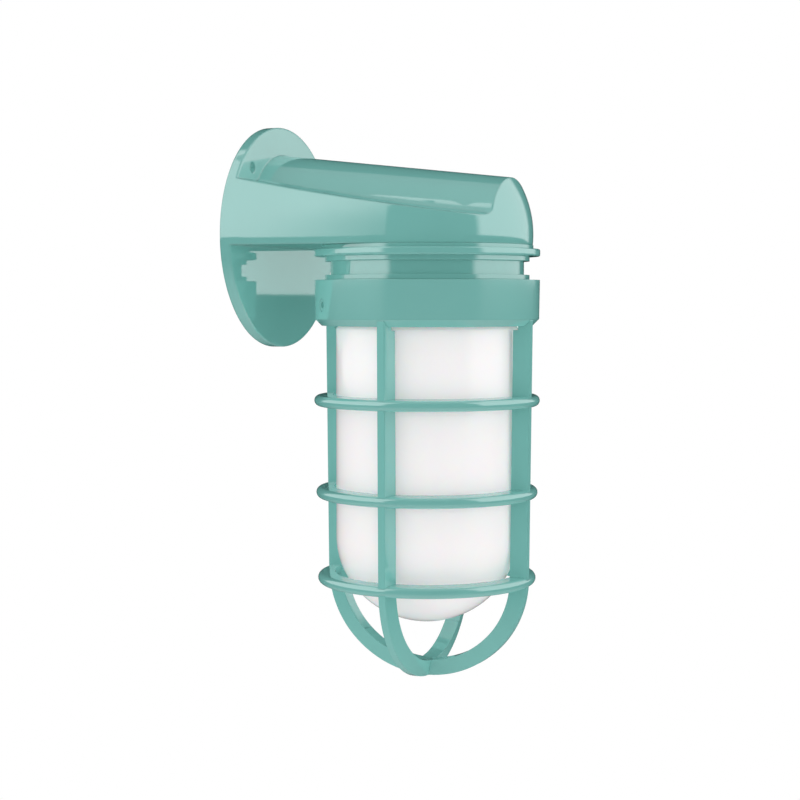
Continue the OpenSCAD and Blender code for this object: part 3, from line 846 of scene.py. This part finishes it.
@dataclass(frozen=True)
class Studio:
    """Camera, white room, pale floor, dark cards and fill lights.

    Lengths are in metres. Edges are in degrees to the right of the camera, rises in
    degrees above the horizon, and a glow of 1 is white.
    """

    # The camera was fitted to the photograph's outlines.
    camera_at: Triple = (0.5408, -0.9989, -0.0387)
    looks_at: Triple = (0.091331, -0.004222, -0.103109)
    lens_mm: float = 78.10
    sensor_mm: float = 36.0
    clip: tuple[float, float] = (0.01, 100.0)
    # The room's level on the light itself, and the floor a wall light's height below.
    room_glow: float = 0.55
    floor_z: float = -2.0
    floor_half: float = 26.0
    floor_shade: float = 0.9
    floor_rough: float = 0.9
    # The cards make a drum: a cloth, a low band, two upright bands and a lid.
    card_away: float = 3.0
    card_lap: float = 1.01
    card_steps: int = 72
    cloth_rise: float = -16.5
    low_rise: float = -0.6
    top_rise: float = 60.0
    left_edge: float = -45.5
    left_end: float = -135.0
    right_edge: float = 55.0
    right_end: float = 140.0
    soft_edge: float = 10.0
    top_glow: float = 0.3
    cloth_glow: float = 0.45
    cloth_reach: float = 2.2

    @property
    def ahead(self) -> Vector:
        """Gives the level direction from the wall light to the camera."""
        away = Vector(self.camera_at) - Vector(self.looks_at)
        return Vector((away.x, away.y, 0)).normalized()

    @property
    def middle(self) -> Triple:
        """Gives the point that the cards stand round."""
        return (self.looks_at[0], self.looks_at[1], 0.0)

    def height(self, rise: float) -> float:
        """Gives the height at which a card is seen at a rise."""
        return self.card_away * math.tan(math.radians(rise))

    def camera(self) -> None:
        """Creates the camera at the photograph's place."""
        data = bpy.data.cameras.new("camera")
        data.lens = self.lens_mm
        data.sensor_width = self.sensor_mm
        data.clip_start, data.clip_end = self.clip
        item = bpy.data.objects.new("camera", data)
        item.location = self.camera_at
        aim = Vector(self.looks_at) - Vector(self.camera_at)
        item.rotation_euler = aim.to_track_quat("-Z", "Y").to_euler()
        bpy.context.scene.collection.objects.link(item)
        bpy.context.scene.camera = item

    def room(self) -> None:
        """Makes the room: white to the camera, the gloss and the glass, and soft on the light."""
        world = bpy.data.worlds.new("room")
        bpy.context.scene.world = world
        world.use_nodes = True
        tree = world.node_tree
        path = tree.nodes.new("ShaderNodeLightPath")
        source = None
        for ray in WHITE_RAYS:
            level = tree.nodes.new("ShaderNodeMapRange")
            level.inputs["To Min"].default_value = self.room_glow
            level.inputs["To Max"].default_value = 1.0
            if source:
                tree.links.new(source, level.inputs["To Min"])
            tree.links.new(path.outputs[ray], level.inputs["Value"])
            source = level.outputs["Result"]
        back = tree.nodes["Background"]
        back.inputs["Color"].default_value = (1, 1, 1, 1)
        tree.links.new(source, back.inputs["Strength"])

    def floor(self) -> None:
        """Lays the plain pale floor, white to the camera, the gloss and the glass."""
        board = Board("floor")
        board.set(base_color=(self.floor_shade,) * 3, roughness=self.floor_rough)
        path = board.add("ShaderNodeLightPath")
        white = board.add("ShaderNodeEmission")
        below = board.shader.outputs["BSDF"]
        for ray in WHITE_RAYS:
            blend = board.add("ShaderNodeMixShader")
            board.join(path.outputs[ray], blend.inputs["Fac"])
            board.join(below, blend.inputs[1])
            board.join(white.outputs["Emission"], blend.inputs[2])
            below = blend.outputs["Shader"]
        board.show(below)
        shape = bmesh.new()
        bmesh.ops.create_grid(shape, x_segments=1, y_segments=1, size=self.floor_half)
        bmesh.ops.translate(shape, verts=shape.verts, vec=(0, 0, self.floor_z))
        place("floor", shape, board.material)

    def band(self, name: str, start: float, end: float, foot: float, top: float) -> None:
        """Stands a black card in a round band about the wall light.

        Args:
            name: Name of the card.
            start: First edge.
            end: Last edge.
            foot: Rise of the lower edge.
            top: Rise of the upper edge.
        """
        side = self.ahead * self.card_away
        side.rotate(Euler((0, 0, math.radians(start))))
        shape = bmesh.new()
        ends = [shape.verts.new(side + Vector((0, 0, self.height(rise)))) for rise in (foot, top)]
        line = shape.edges.new(ends)
        turn = math.radians(end - start)
        full = end - start == FULL_TURN
        bmesh.ops.spin(
            shape,
            geom=[*ends, line],
            axis=(0, 0, 1),
            angle=turn,
            steps=self.card_steps,
            use_merge=full,
        )
        card = Card(name, 0.0)
        if not full:
            first = math.atan2(side.y, side.x)
            card.fade_ends(first + turn / 2, turn / 2, math.radians(self.soft_edge))
        card.stand(shape, self.middle)

    def disc(self, card: Card, rise: float) -> None:
        """Lays a round card over or under the wall light.

        Args:
            card: The card.
            rise: Rise of its edge.
        """
        shape = bmesh.new()
        radius = self.card_away * self.card_lap
        bmesh.ops.create_circle(shape, cap_ends=True, segments=self.card_steps, radius=radius)
        bmesh.ops.translate(shape, verts=shape.verts, vec=(0, 0, self.height(rise)))
        card.stand(shape, self.middle)

    def cards(self) -> None:
        """Leaves the white room open to the gloss at both sides alone."""
        lap = self.soft_edge / 2
        left, right = self.left_edge - lap, self.right_edge + lap
        far_right, far_left = self.right_end - lap, FULL_TURN + self.left_end + lap
        self.band("card_low", 0, FULL_TURN, self.cloth_rise, self.low_rise)
        self.band("card_front", left, right, self.low_rise, self.top_rise)
        self.band("card_back", far_right, far_left, self.low_rise, self.top_rise)
        self.disc(Card("card_top", self.top_glow), self.top_rise)
        cloth = Card("card_cloth", self.cloth_glow)
        centre = (0.0, 0.0, self.height(self.cloth_rise))
        cloth.fade_out(centre, self.cloth_reach, self.cloth_glow)
        self.disc(cloth, self.cloth_rise)

    def build(self) -> None:
        """Sets up the whole studio."""
        self.camera()
        self.room()
        self.floor()
        self.cards()
        for fill in FILLS:
            fill.hang(self.ahead)
        bpy.context.scene.view_settings.view_transform = "Standard"


def main() -> None:
    """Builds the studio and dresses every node."""
    logging.basicConfig(level=logging.INFO, format="%(name)s: %(message)s")
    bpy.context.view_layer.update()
    Studio().build()
    paints = Paintbox()
    for kind in (Castings, Guard, Lampholder, Wiring, Lamp, Jar):
        kind(paints).build()


if __name__ == "__main__":
    main()
